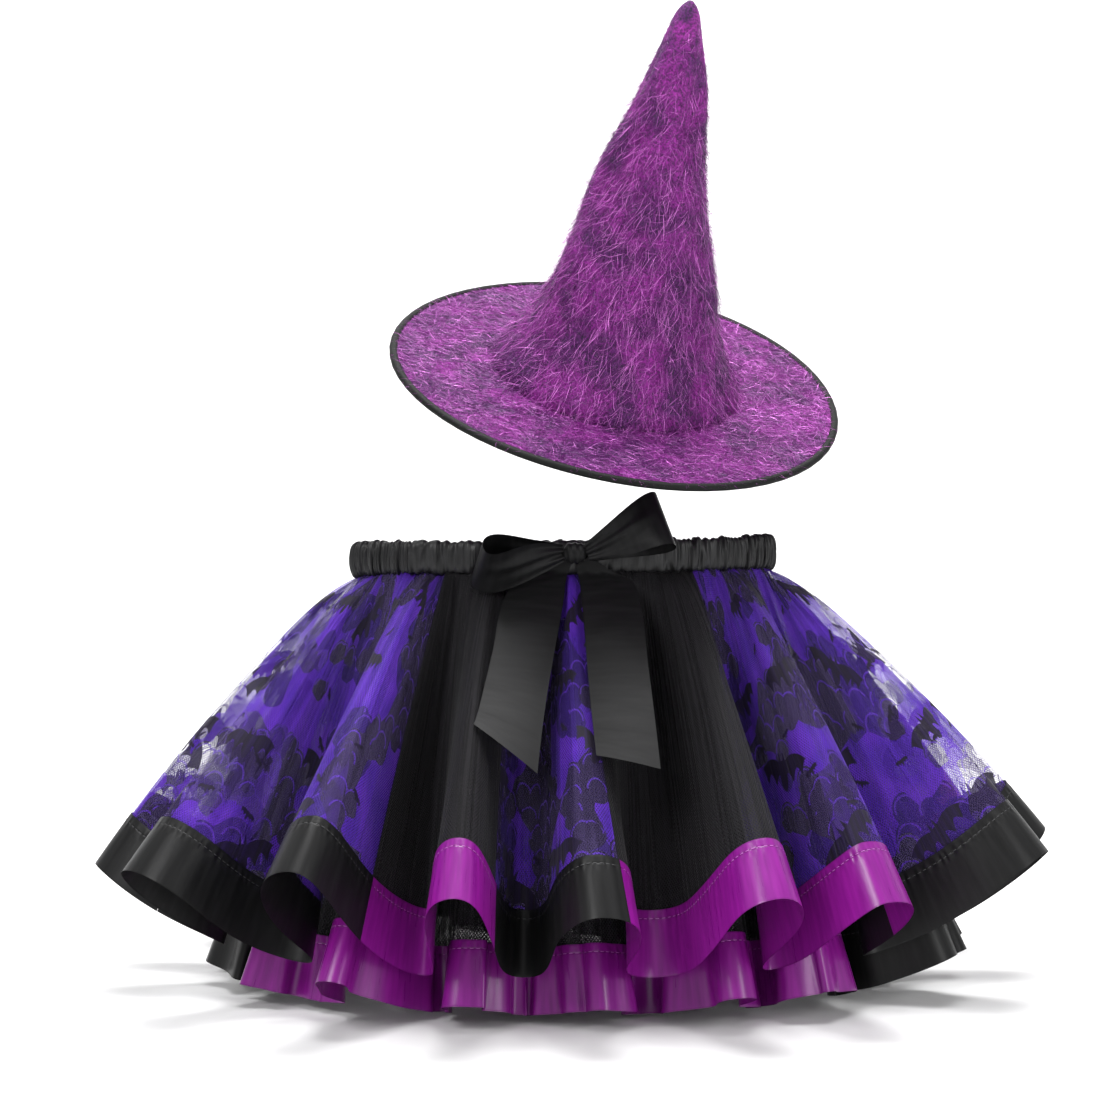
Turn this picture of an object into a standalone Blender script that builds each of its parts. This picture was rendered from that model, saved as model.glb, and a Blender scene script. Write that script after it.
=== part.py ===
"""A small child's witch costume: a layered tutu skirt with a satin bow, and a pointed tinsel hat.

Metres, +Z up, and the front faces -Y. The origin is the middle of the waist.
An azimuth is the direction, in degrees from the front and positive towards +X, in which the
waist's edge faces outwards. A turn counts folds round the skirt: its whole part names a fold of
the layer's table and its fraction runs from that fold's crest to the next one's.
A slide runs from 0 at the waistband to 1 at the hem.
"""

import math
from collections import namedtuple

import bpy
import numpy as np

# Cloth and seams
WALL = 0.0012
SEAM = 0.0003
SEAM_HALF = 0.00032
RIBBON_WIDTH = 0.038
RIBBON_LAP = 0.006
RIBBON_OUT = WALL + SEAM + 0.0002

# Waistband
WAIST_HALF_WIDTH = 0.1235
WAIST_HALF_DEPTH = 0.0595
BAND_HALF_HEIGHT = 0.010
BAND_HALF_THICKNESS = 0.0034
BAND_GATHERS = 48
BAND_GATHER_DEPTH = 0.0008
BACK_DIP = 0.008
RIGHT_RISE = 0.0025

# Skirt
SKIRT_TOP = -BAND_HALF_HEIGHT - 0.0011
SWING_POWER = 1.5
TROUGH_BULGE = 8.0
SHOULDER_REACH = 0.25
GATHERS_PER_FOLD = 3
GATHER_DEPTH = 0.0009
GATHER_REACH = 0.35
GATHER_SPREAD = 0.09

Fold = namedtuple("Fold", "azimuth lift sink curl lean under")
Panel = namedtuple("Panel", "name start end cloth ribbon")
Layer = namedtuple("Layer", "length inset folds crest_bulge shoulder gather columns rows")

# The outer layer's folds, in order round the waist from the left side of the front.
# lift and sink are the slopes, from the vertical, of the crest and of the trough after it, and
# under is the slope of the middle layer's crest below it.
OUTER_FOLDS = [
    Fold(azimuth=-80, lift=40, sink=22, curl=0.060, lean=-2.0, under=20),
    Fold(azimuth=-47, lift=45, sink=21, curl=0.080, lean=-2.0, under=19),
    Fold(azimuth=-21, lift=49, sink=19, curl=0.060, lean=-1.0, under=29),
    Fold(azimuth=-9, lift=45, sink=20, curl=0.070, lean=1.0, under=22),
    Fold(azimuth=1, lift=41, sink=19, curl=0.080, lean=1.5, under=20),
    Fold(azimuth=17, lift=44, sink=20, curl=0.090, lean=0.5, under=24),
    Fold(azimuth=31, lift=41, sink=21, curl=0.060, lean=0.0, under=24),
    Fold(azimuth=66, lift=45.5, sink=22, curl=0.070, lean=2.0, under=30),
    Fold(azimuth=97, lift=45, sink=21, curl=0.060, lean=0.0, under=26),
    Fold(azimuth=124, lift=45, sink=21, curl=0.080, lean=1.0, under=22),
    Fold(azimuth=145, lift=41, sink=19, curl=0.060, lean=1.0, under=24),
    Fold(azimuth=159, lift=44, sink=20, curl=0.080, lean=-0.5, under=22),
    Fold(azimuth=170, lift=41, sink=19, curl=0.070, lean=0.5, under=20),
    Fold(azimuth=181, lift=45, sink=20, curl=0.080, lean=-0.5, under=25),
    Fold(azimuth=193, lift=42, sink=21, curl=0.060, lean=0.5, under=21),
    Fold(azimuth=207, lift=44, sink=20, curl=0.080, lean=1.0, under=24),
    Fold(azimuth=226, lift=41, sink=19, curl=0.070, lean=-1.0, under=22),
    Fold(azimuth=252, lift=41, sink=21, curl=0.070, lean=1.5, under=20),
]

# The outer layer's panels, from the left side of the front. start and end are turns.
OUTER_PANELS = [
    Panel("front_left", 0.25, 2.25, "print", "black"),
    Panel("front_left_net", 2.25, 3.25, "net", "purple"),
    Panel("front_middle", 3.25, 4 + 1 / 12, "print", "black"),
    Panel("front_right_net", 4 + 1 / 12, 5.25, "net", "purple"),
    Panel("front_right", 5.25, 6.25, "print", "purple"),
    Panel("side_right", 6.25, 8.25, "print", "black"),
    Panel("back_right_net", 8.25, 9.25, "net", "purple"),
    Panel("back_right", 9.25, 11.25, "print", "black"),
    Panel("back_middle_net", 11.25, 13.25, "net", "purple"),
    Panel("back_left", 13.25, 15.25, "print", "black"),
    Panel("back_left_net", 15.25, 16.25, "net", "purple"),
    Panel("side_left", 16.25, 18.25, "print", "black"),
]

# The middle layer nests in the outer one's folds and the lining hangs inside both, straighter.
MIDDLE_SINK_LESS = 6.5
MIDDLE_CURL = 0.4
LINING_LIFT = 10.5
LINING_SINK = 6.0
MIDDLE_PANELS = [
    Panel("middle_front", 0.75, 6.25, "net", "purple"),
    Panel("middle_right", 6.25, 10.25, "net", "black"),
    Panel("middle_back", 10.25, 14.25, "net", "purple"),
    Panel("middle_left", 14.25, 18.75, "net", "black"),
]
LINING_PANELS = [
    Panel("lining_front", 0.75, 6.25, "net", None),
    Panel("lining_right", 6.25, 10.25, "net", None),
    Panel("lining_back", 10.25, 14.25, "net", None),
    Panel("lining_left", 14.25, 18.75, "net", None),
]

# Bow
BOW_WIDTH = 0.036
KNOT_PLACE = (0.0065, -0.0698, 0.0030)
KNOT_SIZE = (0.013, 0.009, 0.013)
LOOP_PINCH = 0.010
LOOP_OPEN = 0.013
LOOP_END_GAP = 0.0032
LOOP_STEPS = 14
LOOP_CLEAR = 0.0006
TAIL_CLEAR = 0.0045
BAND_CLEAR = 0.0018

# far is the way from the knot to the middle of a loop's far end, where the ribbon's width
# runs along across.
Loop = namedtuple("Loop", "name side far across")
BOW_LOOPS = [
    Loop("bow_loop_left", side=-1, far=(-0.0490, -0.0190, -0.0060), across=(-0.05, -0.80, 0.57)),
    Loop("bow_loop_right", side=1, far=(0.0455, -0.0050, 0.0200), across=(-0.45, 0.50, 0.74)),
]

# A tail's rows give its middle and its width across the front at slides of the outer layer.
# cut is how much further its right-hand corner reaches than its left-hand one.
TailRow = namedtuple("TailRow", "slide middle width")
Tail = namedtuple("Tail", "name cut rows")
BOW_TAILS = [
    Tail("bow_tail_left", cut=0.12, rows=[
        TailRow(-0.050, 0.0020, 0.008),
        TailRow(0.000, -0.0075, 0.021),
        TailRow(0.040, -0.0130, 0.029),
        TailRow(0.100, -0.0164, 0.0335),
        TailRow(0.290, -0.0229, 0.0345),
        TailRow(0.420, -0.0275, 0.0350),
        TailRow(0.580, -0.0325, 0.0355),
    ]),
    Tail("bow_tail_right", cut=0.05, rows=[
        TailRow(-0.050, 0.0110, 0.008),
        TailRow(0.000, 0.0180, 0.020),
        TailRow(0.045, 0.0242, 0.030),
        TailRow(0.115, 0.0269, 0.0330),
        TailRow(0.335, 0.0307, 0.0345),
        TailRow(0.605, 0.0356, 0.0355),
    ]),
]

# Hat
HAT_PLACE = (0.0318, 0.0, 0.1057)
HAT_TILT_AHEAD = 23.6
HAT_TILT_RIGHT = 10.7
BRIM_RADIUS = 0.1316
BRIM_WALL = 0.0030
BRIM_DIP = 0.003
BRIM_WAVE = 0.0015
CROWN_HEIGHT = 0.235
CROWN_WALL = 0.0040
CROWN_BASE_RADIUS = 0.0613
CROWN_TIP_RADIUS = 0.0045
CROWN_FLARE = 0.0125
CROWN_FLARE_HEIGHT = 0.055
CROWN_DENT = 0.0022
CROWN_HEIGHTS = (0.0008, 0.010, 0.024, 0.045, 0.080, 0.125, 0.170, 0.205, 0.226)
BINDING_RADIUS = 0.0028
BINDING_POINTS = 48

COLOURS = {
    "print": (0.055, 0.014, 0.20, 0.8),
    "net": (0.006, 0.006, 0.008, 0.5),
    "black": (0.008, 0.008, 0.009, 0.4),
    "purple": (0.27, 0.012, 0.30, 0.35),
    "tinsel": (0.13, 0.010, 0.16, 0.45),
}


def clear_scene():
    for old in list(bpy.data.objects):
        bpy.data.objects.remove(old)


def material(name):
    """One finish of the costume: its colour and roughness."""
    if name in bpy.data.materials:
        return bpy.data.materials[name]
    made = bpy.data.materials.new(name)
    made.use_nodes = True
    red, green, blue, roughness = COLOURS[name]
    shader = made.node_tree.nodes["Principled BSDF"]
    shader.inputs["Base Color"].default_value = (red, green, blue, 1.0)
    shader.inputs["Roughness"].default_value = roughness
    shader.inputs["Metallic"].default_value = 0.0
    return made


def grid_object(name, grid, finish, collection, round_across=False):
    """An object whose faces join the neighbouring points of grid[column][row]."""
    grid = np.asarray(grid, float)
    columns, rows = grid.shape[:2]
    last = columns if round_across else columns - 1
    faces = []
    for column in range(last):
        beside = (column + 1) % columns
        for row in range(rows - 1):
            here, there = column * rows + row, beside * rows + row
            faces.append((here, here + 1, there + 1, there))
    mesh = bpy.data.meshes.new(name)
    mesh.from_pydata([tuple(point) for point in grid.reshape(-1, 3)], [], faces)
    mesh.update()
    mesh.shade_smooth()
    made = bpy.data.objects.new(name, mesh)
    made.data.materials.append(material(finish))
    collection.objects.link(made)
    return made


def give_wall(cloth, thickness):
    """Turns an open surface into a wall with this surface in its middle."""
    wall = cloth.modifiers.new("wall", "SOLIDIFY")
    wall.thickness = thickness
    wall.offset = 0.0
    wall.use_rim = True
    return cloth


def waist_edge(azimuth, inset):
    """The waist's points and outward directions at these azimuths, in radians."""
    half_width = WAIST_HALF_WIDTH - inset
    half_depth = WAIST_HALF_DEPTH - inset
    across, along = np.sin(azimuth), np.cos(azimuth)
    size = np.sqrt((half_width * across) ** 2 + (half_depth * along) ** 2)
    points = np.stack([half_width**2 * across / size, -(half_depth**2) * along / size], axis=-1)
    return points, np.stack([across, -along], axis=-1)


def waist_spread(azimuth):
    """How much waist edge there is to a radian, which shrinks towards the waist's narrow ends."""
    size = np.hypot(WAIST_HALF_WIDTH * np.sin(azimuth), WAIST_HALF_DEPTH * np.cos(azimuth))
    return (WAIST_HALF_WIDTH * WAIST_HALF_DEPTH) ** 2 / size**3


def waist_height(azimuth):
    """How far the waist rises at an azimuth: it dips at the back and lifts a little at the right."""
    return BACK_DIP * (np.cos(azimuth) - 1) / 2 + RIGHT_RISE * np.sin(azimuth)


def fold_slopes(layer, turns):
    """Each turn's azimuth, its sway towards the fold's curl, its slope and its crestness."""
    folds = layer.folds
    index = np.floor(turns).astype(int)
    part = turns - index
    near = np.where(part < 0.5, index, index + 1)

    def column(name, which):
        values = np.array([getattr(fold, name) for fold in folds], float)
        return values[which % len(folds)]

    start = column("azimuth", index) + 360.0 * (index // len(folds))
    end = column("azimuth", index + 1) + 360.0 * ((index + 1) // len(folds))
    crestness = (1 + np.cos(2 * math.pi * part)) / 2
    slope = column("sink", index) + (column("lift", near) - column("sink", index)) * crestness
    azimuth = start + (end - start) * part
    curl = (end - start) * column("curl", near) * np.sin(4 * math.pi * part)
    sway = curl + column("lean", near) * crestness
    return azimuth, sway, slope, crestness


def slope_run(slope, bulge, slides, length):
    """How far out and down a strip of cloth reaches whose slope eases from the waist to the hem."""
    bend = np.radians(bulge)
    start = np.radians(slope) + bend / 2
    end = start - bend * slides
    out = length * (np.cos(end) - np.cos(start)) / bend
    down = length * (np.sin(start) - np.sin(end)) / bend
    return out, down


def crest_shoulder(layer, slides):
    """How far the gathered top pushes a crest off its slope before it runs straight."""
    return layer.shoulder * (1 - np.clip(1 - slides / SHOULDER_REACH, 0, 1) ** 3)


def skirt_surface(layer, turn, slide):
    """Points of a layer's middle surface for equal grids of turns and slides."""
    azimuth, sway, slope, crestness = fold_slopes(layer, turn)
    bulge = TROUGH_BULGE + (layer.crest_bulge - TROUGH_BULGE) * crestness
    out, down = slope_run(slope, bulge, slide, layer.length)
    fade = np.clip(1 - slide / GATHER_REACH, 0, 1) ** 2
    room = np.clip(waist_spread(np.radians(azimuth)) / GATHER_SPREAD, 0, 1)
    gather = layer.gather * room * fade * (1 + np.cos(2 * math.pi * GATHERS_PER_FOLD * turn))
    puff = crest_shoulder(layer, slide) * crestness
    out = out + gather + puff * np.cos(np.radians(slope))
    down = down - puff * np.sin(np.radians(slope))
    facing = np.radians(azimuth + sway * np.clip(slide, 0, 2) ** SWING_POWER)
    edge, outward = waist_edge(facing, layer.inset)
    flat = edge + outward * out[..., None]
    top = SKIRT_TOP + waist_height(facing) * (1 - slide)
    return np.concatenate([flat, (top - down)[..., None]], axis=-1)


def skirt_points(layer, turn, slide, moved_out=0.0):
    """The same points, moved out along the surface's normal."""
    points = skirt_surface(layer, turn, slide)
    if moved_out:
        step = 0.002
        along = skirt_surface(layer, turn + step, slide) - skirt_surface(layer, turn - step, slide)
        above = skirt_surface(layer, turn, slide - step)
        downwards = skirt_surface(layer, turn, slide + step) - above
        normal = np.cross(downwards, along)
        normal /= np.linalg.norm(normal, axis=-1, keepdims=True)
        points = points + normal * moved_out
    return points


def panel_grid(layer, panel, slides):
    """A panel's turns and slides, column by row, with half a seam left free at both its edges."""
    slides = np.asarray(slides, float)
    step = 0.01
    margins = []
    for edge in (panel.start, panel.end):
        here = skirt_surface(layer, np.full_like(slides, edge), slides)
        beside = skirt_surface(layer, np.full_like(slides, edge + step), slides)
        margins.append(SEAM_HALF * step / np.linalg.norm(beside - here, axis=-1))
    count = round((panel.end - panel.start) * layer.columns)
    share = np.linspace(0, 1, count + 1)[:, None]
    start, end = panel.start + margins[0], panel.end - margins[1]
    turn = start + (end - start) * share
    return turn, np.broadcast_to(slides, turn.shape)


def add_panel(layer, panel, collection):
    """One panel of net and the satin ribbon sewn to its lower edge."""
    ribbon_top = 1 - RIBBON_WIDTH / layer.length
    net_end = ribbon_top + RIBBON_LAP / layer.length
    lower = (ribbon_top, net_end) if panel.ribbon else (1.0,)
    turn, slide = panel_grid(layer, panel, layer.rows + lower)
    net = grid_object("skirt_" + panel.name, skirt_points(layer, turn, slide), panel.cloth, collection)
    give_wall(net, WALL)
    if panel.ribbon:
        turn, slide = panel_grid(layer, panel, (ribbon_top, 1.0))
        strip = skirt_points(layer, turn, slide, RIBBON_OUT)
        ribbon = grid_object("ribbon_" + panel.name, strip, panel.ribbon, collection)
        give_wall(ribbon, WALL)


def add_waistband(collection):
    """The gathered satin casing: a rounded section swept round the waist."""
    per_gather = 3
    section = [(0.0, 1.0), (0.8, 0.72), (1.0, 0.0), (0.8, -0.72), (0.0, -1.0), (-0.8, 0.0)]
    count = BAND_GATHERS * per_gather
    azimuths = 2 * math.pi * np.arange(count) / count
    gather = BAND_GATHER_DEPTH * np.cos(2 * math.pi * np.arange(count) / per_gather)
    edge, outward = waist_edge(azimuths, 0.0)
    rings = []
    for out, up in section:
        flat = edge + outward * (out * (BAND_HALF_THICKNESS + gather))[:, None]
        height = waist_height(azimuths) + up * BAND_HALF_HEIGHT
        rings.append(np.concatenate([flat, height[:, None]], axis=-1))
    rings.append(rings[0])
    grid = np.stack(rings, axis=1)
    band = grid_object("waistband", grid, "black", collection, round_across=True)
    weld = band.modifiers.new("join", "WELD")
    weld.merge_threshold = 0.00005
    return band


def add_loop(loop, collection):
    """One loop of the bow: ribbon that leaves the knot, turns round at its far end and comes back."""
    begin = np.array(KNOT_PLACE) + (loop.side * (KNOT_SIZE[0] / 2 + LOOP_CLEAR), 0.0, 0.0)
    far = np.array(loop.far)
    axis = far / np.linalg.norm(far)
    grid = []
    for part in np.linspace(0, 1, LOOP_STEPS + 1):
        reach = math.sin(math.pi * part)
        across = np.array([0.0, 0.0, 1.0]) * (1 - reach) + np.array(loop.across) * reach
        across -= axis * (across @ axis)
        across /= np.linalg.norm(across)
        through = np.cross(axis, across) * loop.side
        width = LOOP_PINCH + (BOW_WIDTH - LOOP_PINCH) * reach**0.7
        leaf = math.cos(math.pi * part)
        apart = LOOP_END_GAP / 2 * np.sign(leaf) * abs(leaf) ** 0.3
        apart += LOOP_OPEN / 2 * math.sin(2 * math.pi * part)
        centre = begin + far * reach**0.8 + through * apart
        grid.append([centre + across * width * share for share in (0.5, 0.17, -0.17, -0.5)])
    give_wall(grid_object(loop.name, grid, "black", collection), WALL)


def front_cover(layer, across, slide, out):
    """A point over the front folds' crests, at a distance across, moved out from them."""
    turns = np.linspace(0.0, 8.0, 161)
    azimuth = fold_slopes(layer, turns)[0]
    lifts = np.interp(turns, np.arange(9), [fold.lift for fold in layer.folds[:9]])
    run_out, run_down = slope_run(lifts, layer.crest_bulge, slide, layer.length)
    puff = crest_shoulder(layer, slide)
    run_out = run_out + puff * np.cos(np.radians(lifts))
    run_down = run_down - puff * np.sin(np.radians(lifts))
    edge, outward = waist_edge(np.radians(azimuth), layer.inset)
    flat = edge + outward * run_out[:, None]
    ahead = np.interp(across, flat[:, 0], flat[:, 1])
    down = np.interp(across, flat[:, 0], run_down)
    lift = np.interp(across, flat[:, 0], lifts)
    slope = math.radians(lift + layer.crest_bulge * (0.5 - slide))
    point = np.array([across, ahead - out * math.cos(slope), SKIRT_TOP - down + out * math.sin(slope)])
    point[1] = min(point[1], -WAIST_HALF_DEPTH - BAND_HALF_THICKNESS - BAND_CLEAR)
    return point


def add_tail(tail, layer, collection):
    """One tail of the bow: ribbon that hangs over the band and lies on the front folds."""
    grid = []
    for row in tail.rows:
        cut = tail.cut if row is tail.rows[-1] else 0.0
        grid.append([
            front_cover(layer, row.middle + share * row.width, row.slide + share * cut, TAIL_CLEAR)
            for share in (-0.5, -0.17, 0.17, 0.5)
        ])
    give_wall(grid_object(tail.name, grid, "black", collection), WALL)


def add_bow(layer, collection):
    for loop in BOW_LOOPS:
        add_loop(loop, collection)
    for tail in BOW_TAILS:
        add_tail(tail, layer, collection)
    bpy.ops.mesh.primitive_uv_sphere_add(segments=16, ring_count=8, radius=0.5)
    knot = bpy.context.object
    knot.name = "bow_knot"
    knot.scale = KNOT_SIZE
    knot.location = KNOT_PLACE
    knot.data.materials.append(material("black"))
    knot.data.shade_smooth()
    for holder in list(knot.users_collection):
        holder.objects.unlink(knot)
    collection.objects.link(knot)


def brim_height(angle, radius):
    """The brim's own shape: it dips towards its edge and waves a little there."""
    share = radius / BRIM_RADIUS
    return -BRIM_DIP * share**2 + BRIM_WAVE * share**3 * np.sin(2 * angle - 0.6)


def crown_point(height, angle):
    """A point of the crown: a straight cone with a flare at its seam and soft dents."""
    share = height / CROWN_HEIGHT
    cone = CROWN_BASE_RADIUS + (CROWN_TIP_RADIUS - CROWN_BASE_RADIUS) * share
    flare = CROWN_FLARE * max(0.0, 1 - height / CROWN_FLARE_HEIGHT) ** 2
    wide = math.sin(3 * angle + 9 * share) * math.sin(math.pi * share)
    fine = 0.6 * math.sin(5 * angle - 14 * share) * share
    radius = cone + flare + CROWN_DENT * (wide + fine) * min(1.0, 5 * (1 - share))
    return radius * math.cos(angle), radius * math.sin(angle), height


def add_hat(collection):
    pose = bpy.data.objects.new("hat_pose", None)
    pose.location = HAT_PLACE
    pose.rotation_euler = (math.radians(HAT_TILT_AHEAD), math.radians(HAT_TILT_RIGHT), 0.0)
    collection.objects.link(pose)

    angles = 2 * math.pi * np.arange(32) / 32
    crown = np.array([[crown_point(height, angle) for height in CROWN_HEIGHTS] for angle in angles])
    cone = crown_mesh(crown, (0.0, 0.0, CROWN_HEIGHT), collection)
    give_wall(cone, CROWN_WALL)
    cone.parent = pose

    inner = CROWN_BASE_RADIUS + CROWN_FLARE - CROWN_WALL
    radii = (BRIM_RADIUS, BRIM_RADIUS - 0.022, inner + 0.014, inner)
    angles = 2 * math.pi * np.arange(44) / 44
    brim = np.array([
        [(r * math.cos(a), r * math.sin(a), brim_height(a, r) - BRIM_WALL / 2) for r in radii]
        for a in angles
    ])
    plate = grid_object("hat_brim", brim, "tinsel", collection, round_across=True)
    give_wall(plate, BRIM_WALL)
    plate.parent = pose
    add_binding(pose, collection)


def crown_mesh(crown, tip, collection):
    """The crown's surface, closed by a fan at its tip."""
    columns, rows = crown.shape[:2]
    cone = grid_object("hat_crown", crown, "tinsel", collection, round_across=True)
    points = [tuple(vertex.co) for vertex in cone.data.vertices] + [tuple(tip)]
    faces = [tuple(face.vertices) for face in cone.data.polygons]
    top = len(points) - 1
    for column in range(columns):
        beside = (column + 1) % columns
        faces.append((column * rows + rows - 1, top, beside * rows + rows - 1))
    cone.data.clear_geometry()
    cone.data.from_pydata(points, [], faces)
    cone.data.flip_normals()
    cone.data.update()
    cone.data.shade_smooth()
    return cone


def add_binding(pose, collection):
    """The bias tape round the brim's edge: a closed tube that follows it."""
    line = bpy.data.curves.new("hat_binding", "CURVE")
    line.dimensions = "3D"
    line.bevel_depth = BINDING_RADIUS
    line.bevel_resolution = 1
    spline = line.splines.new("POLY")
    spline.points.add(BINDING_POINTS - 1)
    radius = BRIM_RADIUS + SEAM + BINDING_RADIUS
    for index, point in enumerate(spline.points):
        angle = 2 * math.pi * index / BINDING_POINTS
        height = brim_height(angle, BRIM_RADIUS) - BRIM_WALL / 2
        point.co = (radius * math.cos(angle), radius * math.sin(angle), height, 1.0)
    spline.use_cyclic_u = True
    binding = bpy.data.objects.new("hat_binding", line)
    line.materials.append(material("black"))
    collection.objects.link(binding)
    binding.parent = pose


def main():
    clear_scene()
    costume = bpy.data.collections.new("witch_costume")
    bpy.context.scene.collection.children.link(costume)

    outer = Layer(0.235, 0.0, OUTER_FOLDS, crest_bulge=13.0, shoulder=0.0065, gather=GATHER_DEPTH,
                  columns=12, rows=(0.0, 0.07, 0.20, 0.50))
    middle_folds = [
        fold._replace(lift=fold.under, sink=fold.sink - MIDDLE_SINK_LESS, curl=fold.curl * MIDDLE_CURL)
        for fold in OUTER_FOLDS
    ]
    middle = Layer(0.254, 0.0016, middle_folds, crest_bulge=8.0, shoulder=0.001, gather=0.0,
                   columns=8, rows=(0.0, 0.40))
    lining_folds = [fold._replace(lift=LINING_LIFT, sink=LINING_SINK, curl=0, lean=0) for fold in OUTER_FOLDS]
    lining = Layer(0.240, 0.0032, lining_folds, crest_bulge=8.0, shoulder=0.0, gather=0.0,
                   columns=4, rows=(0.0, 0.40))
    for layer, panels in ((outer, OUTER_PANELS), (middle, MIDDLE_PANELS), (lining, LINING_PANELS)):
        for panel in panels:
            add_panel(layer, panel, costume)
    add_waistband(costume)
    add_bow(outer, costume)
    add_hat(costume)


main()
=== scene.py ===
"""The looks of the witch costume: a layered tutu skirt with a bow, and a tinsel hat.

Metres, +Z up, and the front faces -Y. The skirt's surfaces repeat the rules of the solids, so each
piece lies where its solid is. An azimuth is a direction in degrees from the front, a turn counts
folds round the skirt, and a slide runs from 0 at the waistband to 1 at the hem.
"""

import math
from collections import namedtuple

import bpy
import numpy as np
from mathutils import Euler, Matrix, Vector

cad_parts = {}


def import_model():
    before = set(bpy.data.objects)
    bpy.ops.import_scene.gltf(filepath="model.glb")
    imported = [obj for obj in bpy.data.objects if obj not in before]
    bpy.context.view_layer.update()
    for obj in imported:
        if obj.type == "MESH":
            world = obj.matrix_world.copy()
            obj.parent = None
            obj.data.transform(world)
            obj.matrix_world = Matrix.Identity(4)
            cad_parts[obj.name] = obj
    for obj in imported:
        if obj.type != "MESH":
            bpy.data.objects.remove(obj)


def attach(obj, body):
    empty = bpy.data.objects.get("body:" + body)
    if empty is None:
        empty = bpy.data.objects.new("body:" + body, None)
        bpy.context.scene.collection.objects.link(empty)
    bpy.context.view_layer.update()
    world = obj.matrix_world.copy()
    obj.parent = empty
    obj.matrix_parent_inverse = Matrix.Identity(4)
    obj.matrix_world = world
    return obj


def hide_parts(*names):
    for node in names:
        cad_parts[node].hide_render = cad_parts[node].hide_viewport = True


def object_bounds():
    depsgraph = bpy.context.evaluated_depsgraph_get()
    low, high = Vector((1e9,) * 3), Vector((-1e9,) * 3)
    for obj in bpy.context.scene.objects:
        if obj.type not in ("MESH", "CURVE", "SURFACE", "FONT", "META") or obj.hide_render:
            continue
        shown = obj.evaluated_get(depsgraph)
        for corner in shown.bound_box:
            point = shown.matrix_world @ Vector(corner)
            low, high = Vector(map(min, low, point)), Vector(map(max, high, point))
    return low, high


# Photograph: 1100 pixels square, 0.6 mm a pixel at the costume's middle
IMAGE_SIDE = 1100
MIDDLE_PIXEL = (563, 550)
METRES_PER_PIXEL = 0.0006
CAMERA_DISTANCE = 2.0
CAMERA_ELEVATION = 4.0
SENSOR = 36.0

# Cloth and seams
NET_OUT = 0.0003
RIBBON_WIDTH = 0.038
RIBBON_LAP = 0.006
RIBBON_OUT = 0.0011
NET_HOLE = 0.0020
WARP_LENGTH = 0.0006
WEFT_LENGTH = 0.0007
PUCKER_REACH = 0.0055
PUCKER_LENGTH = 0.0062
CLOUD_SIZE = 17.0
SEAM_HALF = 0.00012
TUCK = 0.020
STITCH_DOWN = 0.005
STITCH_LENGTH = 0.0024
STITCH_SPACING = 0.0036
STITCH_RADIUS = 0.00030

# Waistband
WAIST_HALF_WIDTH = 0.1235
WAIST_HALF_DEPTH = 0.0595
BAND_HALF_HEIGHT = 0.010
BAND_HALF_THICKNESS = 0.0034
CASING_PLEATS = 112
BACK_DIP = 0.008
RIGHT_RISE = 0.0025

# Skirt
SKIRT_TOP = -BAND_HALF_HEIGHT - 0.0011
SWING_POWER = 1.5
TROUGH_BULGE = 8.0
SHOULDER_REACH = 0.25
GATHERS_PER_FOLD = 3
GATHER_DEPTH = 0.0009
GATHER_REACH = 0.35
GATHER_SPREAD = 0.09

Fold = namedtuple("Fold", "azimuth lift sink curl lean under")
Panel = namedtuple("Panel", "name start end cloth ribbon")
Layer = namedtuple("Layer", "length inset folds crest_bulge shoulder gather columns ruffle")

# The outer layer's folds: lift and sink are the slopes, from the vertical, of the crest and of the
# trough after it, and under is the slope of the middle layer's crest below it.
OUTER_FOLDS = [
    Fold(-80, 40, 22, 0.060, -2.0, 20),
    Fold(-47, 45, 21, 0.080, -2.0, 19),
    Fold(-21, 49, 19, 0.060, -1.0, 29),
    Fold(-9, 45, 20, 0.070, 1.0, 22),
    Fold(1, 41, 19, 0.080, 1.5, 20),
    Fold(17, 44, 20, 0.090, 0.5, 24),
    Fold(31, 41, 21, 0.060, 0.0, 24),
    Fold(66, 45.5, 22, 0.070, 2.0, 30),
    Fold(97, 45, 21, 0.060, 0.0, 26),
    Fold(124, 45, 21, 0.080, 1.0, 22),
    Fold(145, 41, 19, 0.060, 1.0, 24),
    Fold(159, 44, 20, 0.080, -0.5, 22),
    Fold(170, 41, 19, 0.070, 0.5, 20),
    Fold(181, 45, 20, 0.080, -0.5, 25),
    Fold(193, 42, 21, 0.060, 0.5, 21),
    Fold(207, 44, 20, 0.080, 1.0, 24),
    Fold(226, 41, 19, 0.070, -1.0, 22),
    Fold(252, 41, 21, 0.070, 1.5, 20),
]
OUTER_PANELS = [
    Panel("front_left", 0.25, 2.25, "print_net", "black_satin"),
    Panel("front_left_net", 2.25, 3.25, "black_net", "purple_satin"),
    Panel("front_middle", 3.25, 4 + 1 / 12, "print_net", "black_satin"),
    Panel("front_right_net", 4 + 1 / 12, 5.25, "black_net", "purple_satin"),
    Panel("front_right", 5.25, 6.25, "print_net", "purple_satin"),
    Panel("side_right", 6.25, 8.25, "print_net", "black_satin"),
    Panel("back_right_net", 8.25, 9.25, "black_net", "purple_satin"),
    Panel("back_right", 9.25, 11.25, "print_net", "black_satin"),
    Panel("back_middle_net", 11.25, 13.25, "black_net", "purple_satin"),
    Panel("back_left", 13.25, 15.25, "print_net", "black_satin"),
    Panel("back_left_net", 15.25, 16.25, "black_net", "purple_satin"),
    Panel("side_left", 16.25, 18.25, "print_net", "black_satin"),
]
MIDDLE_SINK_LESS = 6.5
MIDDLE_CURL = 0.4
LINING_LIFT = 10.5
LINING_SINK = 6.0
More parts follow.
